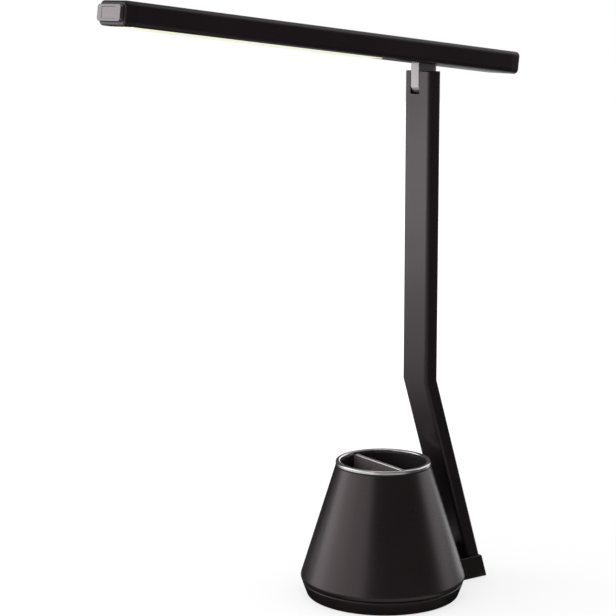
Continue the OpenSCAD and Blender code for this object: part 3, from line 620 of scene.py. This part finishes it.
# Upright on the pin, round at the bottom and flush with the arm's front, with its plate in the bar on top
neck_top = ARM_TOP + 12
tongue = drawn("bright_tongue", arc((ARM_Y, PIN_Z), -BARREL_R, 24, 25) + soft([
    (ARM_Y + BARREL_R, ARM_TOP - 6, 1.5), (ARM_Y + NECK_Y, ARM_TOP - 1.5, 1.5), (ARM_Y + NECK_Y, neck_top),
    (ARM_Y - BARREL_R, neck_top)]), "X", SLOT_X - TONGUE_W / 2, TONGUE_W)
plan = neck_plan(TONGUE_W / 2, ARM_Y - BARREL_R - 1, ARM_Y + NECK_Y - TONGUE_W / 2)
cut(tongue, drawn("tongue_plan", plan, "Z", 300, 120), "INTERSECT")
cut(tongue, put(slab("above", (-40, -40, COVER_T), (40, 40, 60)), IN_BAR))
ease(tongue, lambda e: is_sharp(e, 50) and centre(e).z < ARM_TOP + 4, 0.4, 3)
cut(tongue, drawn("pin_hole", arc((ARM_Y, PIN_Z), PIN_HOLE_R), "X", -20, 40))
holder = slab("tongue_plate", (-HOLDER_X, HOLDER_Y0, COVER_T - 0.01),
              (HOLDER_X, HOLDER_Y1, COVER_T + HOLDER_T))
cut(tongue, put(holder, IN_BAR), "UNION")
finish(tongue, "light_bar", cast_metal, "neck_metal", "hinge_tongue")

# ---------------------------------------------------------------- light bar


def bar_section():
    """The housing's outline across the bar: a tube that is open below between two lips."""
    side, mouth, inner = BAR_W / 2, MOUTH_X + FIT, BAR_W / 2 - BAR_WALL
    top = BAR_H - BAR_WALL
    return soft([
        (mouth, 0, 0.2), (side, 0, BAR_ROUND), (side, BAR_H, BAR_ROUND), (-side, BAR_H, BAR_ROUND),
        (-side, 0, BAR_ROUND), (-mouth, 0, 0.2), (-mouth, BAR_WALL), (-inner, BAR_WALL, 0.8),
        (-inner, top, 0.8), (inner, top, 0.8), (inner, BAR_WALL, 0.8), (mouth, BAR_WALL)], 8)


housing = drawn("bar_extrusion", bar_section(), "Y", HOUSING_Y0, HOUSING_Y1 - HOUSING_Y0)
finish(housing, "light_bar", powder_coat, "black_metal", "bar_housing", place=IN_BAR)

# The light strip and the cover behind it close the bar's mouth, and rest inside on the lips
strip_end = COVER_Y - FIT
glow = drawn("opal_strip", soft([
    (-MOUTH_X, -DIFFUSER_PROUD, 0.5), (MOUTH_X, -DIFFUSER_PROUD, 0.5), (MOUTH_X, BAR_WALL),
    (MOUTH_X + LEDGE, BAR_WALL), (MOUTH_X + LEDGE, DIFFUSER_TOP), (-MOUTH_X - LEDGE, DIFFUSER_TOP),
    (-MOUTH_X - LEDGE, BAR_WALL), (-MOUTH_X, BAR_WALL)]), "Y", HOUSING_Y0, strip_end - HOUSING_Y0)
finish(glow, "light_bar", opal, "diffuser", "diffuser", place=IN_BAR)

cover = drawn("bar_underside", [
    (-MOUTH_X - LEDGE, BAR_WALL), (-MOUTH_X, BAR_WALL), (-MOUTH_X, 0), (MOUTH_X, 0), (MOUTH_X, BAR_WALL),
    (MOUTH_X + LEDGE, BAR_WALL), (MOUTH_X + LEDGE, COVER_TOP), (-MOUTH_X - LEDGE, COVER_TOP)],
    "Y", COVER_Y, HOUSING_Y1 - COVER_Y)
cut(cover, drawn("neck_hole", neck_plan(SLOT_W / 2, -6, NECK_Y - TONGUE_W / 2), "Z", -1, 6))
cut(cover, slab("plate_room", (-30, HOLDER_Y0 - 2 * FIT, COVER_T), (30, HOLDER_Y1 + 2 * FIT, 5)))
for x in SCREW_XS:
    for y in SCREW_YS:
        for radius, deep in ((HEAD_R, HEAD_DEEP), (SCREW_R, COVER_DEEP)):
            cut(cover, drawn("well", arc((x, y), radius), "Z", -1, deep + 1))
finish(cover, "light_bar", plain_abs, "black_plastic", "bar_cover", place=IN_BAR)


def bar_end(name, flat_y, tip_y):
    """A length of the bar's outline whose outer edges are rounded over."""
    end = drawn(name, rounded(BAR_W, BAR_H, BAR_ROUND, MID_BAR, 8), "Y", flat_y, tip_y - flat_y)
    return ease(end, lambda e: abs(centre(e).y - tip_y) < NEAR, END_ROUND, 6)


bezel = bar_end("nose_cap", HOUSING_Y0, NOSE_Y)
pocket = rounded(PLATE_W + 2 * FIT, PLATE_H + 2 * FIT, PLATE_ROUND + FIT, MID_BAR)
cut(bezel, drawn("plate_pocket", pocket, "Y", NOSE_Y + POCKET_DEEP, -POCKET_DEEP - 2))
ease(bezel, lambda e: is_sharp(e) and abs(centre(e).y - NOSE_Y) < NEAR, 0.1, 2)
finish(bezel, "light_bar", nose_abs, "black_plastic", "nose_bezel", place=IN_BAR)


def on_plate_face(edge):
    """Sharp edges that lie in the front of the end plate."""
    return is_sharp(edge) and abs(centre(edge).y - PLATE_Y) < NEAR


def round_the_plate(edge):
    """Of those, the ones round the plate's outside and not round the key."""
    beside = abs(centre(edge).x) > BUTTON_W / 2 + 1
    above_or_below = abs(centre(edge).z - BAR_H / 2) > BUTTON_H / 2 + 0.5
    return on_plate_face(edge) and (beside or above_or_below)


plate = drawn("nose_plate", rounded(PLATE_W, PLATE_H, PLATE_ROUND, MID_BAR, 8), "Y", PLATE_Y, PLATE_T)
key_hole = rounded(
    BUTTON_W + 2 * BUTTON_GAP, BUTTON_H + 2 * BUTTON_GAP, BUTTON_ROUND + BUTTON_GAP, MID_BAR, 8)
cut(plate, drawn("key_hole", key_hole, "Y", PLATE_Y - 1, PLATE_T + 2.5))
ease(plate, round_the_plate, PLATE_BEVEL, 8)
ease(plate, on_plate_face, 0.12, 2)
finish(plate, "light_bar", plate_metal, "bright_trim", "end_plate", place=IN_BAR)

KEY_Y = PLATE_Y + BUTTON_SUNK
key = drawn("power_key", rounded(BUTTON_W, BUTTON_H, BUTTON_ROUND, MID_BAR, 8), "Y", KEY_Y, PLATE_T - 0.05)
ease(key, lambda e: is_sharp(e) and abs(centre(e).y - KEY_Y) < NEAR, 0.3, 3)
finish(key, "button", plate_metal, "bright_trim", "power_button", place=IN_BAR)

tail = bar_end("tail_end_cap", HOUSING_Y1, TAIL_Y)
finish(tail, "light_bar", plain_abs, "black_plastic", "tail_cap", place=IN_BAR)

# ---------------------------------------------------------------- table

clear()
bpy.ops.mesh.primitive_circle_add(vertices=96, radius=6, fill_type="NGON", location=(0, 0, 0))
table = named("table")
# White card. It looks white to the camera out to the horizon; near the lamp part of that is left to the
# lights, so that the lamp's shadow shows. Gloss and metal show it bright on the nose's side and behind on
# the right, another way near the lamp than far from it, and dark right at the base. Near the lamp the
# nose's side is dark in gloss, a painted shade of the lamp; the dark ring at the base is a painted shadow.
CARD_GLOW = 0.70
NEAR_ENDS, FAR_STARTS = 0.26, 0.48
paper, tree, skin, place = material("white_card")
skin.inputs["Base Color"].default_value = hex_colour("#a0a0a0")
skin.inputs["Roughness"].default_value = 1
skin.inputs["Specular IOR Level"].default_value = 0
glossy, seen = ray_kinds(tree)
reach = node(tree, "ShaderNodeVectorMath", {0: place}, operation="LENGTH").outputs["Value"]
far = node(tree, "ShaderNodeMapRange",
           {"Value": reach, "From Min": 0.25, "From Max": 0.9, "To Min": CARD_GLOW, "To Max": 1})
shown = node(tree, "ShaderNodeMath", {0: seen, 1: far.outputs[0]}, operation="MULTIPLY")
glow = node(tree, "ShaderNodeEmission", {"Strength": shown.outputs[0]})
card = node(tree, "ShaderNodeAddShader", {0: skin.outputs[0], 1: glow.outputs[0]})
far_side = by_side(tree, place, (
    (-172, 0.03), (-154, 1), (-62, 1), (-42, 0.4), (8, 0.4), (20, FLAG_LEVEL), (90, FLAG_LEVEL),
    (104, 1), (136, 1), (145, 0.03)))
# Near the lamp the nose's side is dark in gloss: painted shade of the lamp.
near_side = by_side(tree, place, (
    (-76, FLAG_LEVEL), (-62, 0.4), (12, 0.5), (26, FLAG_LEVEL), (76, FLAG_LEVEL), (90, 1), (136, 1),
    (145, FLAG_LEVEL)))
from_lamp = node(tree, "ShaderNodeMapRange",
                 {"Value": reach, "From Min": NEAR_ENDS, "From Max": FAR_STARTS})
both_sides = node(tree, "ShaderNodeMix", {0: from_lamp.outputs[0], 6: near_side, 7: far_side},
                  data_type="RGBA")
# Painted shadow: in gloss the card is dark right round the base, where the lamp shades it.
painted_base_shadow = node(tree, "ShaderNodeMapRange",
                     {"Value": reach, "From Min": 0.064, "From Max": 0.072, "To Min": 0.1, "To Max": 1.1})
mirrored = node(tree, "ShaderNodeMath", {0: both_sides.outputs[2], 1: painted_base_shadow.outputs[0]},
                operation="MULTIPLY")
image = node(tree, "ShaderNodeEmission", {"Strength": mirrored.outputs[0]})
both = node(tree, "ShaderNodeMixShader", {0: glossy, 1: card.outputs[0], 2: image.outputs[0]})
tree.links.new(both.outputs[0], tree.nodes["Material Output"].inputs["Surface"])
table.data.materials.append(paper)

clear()
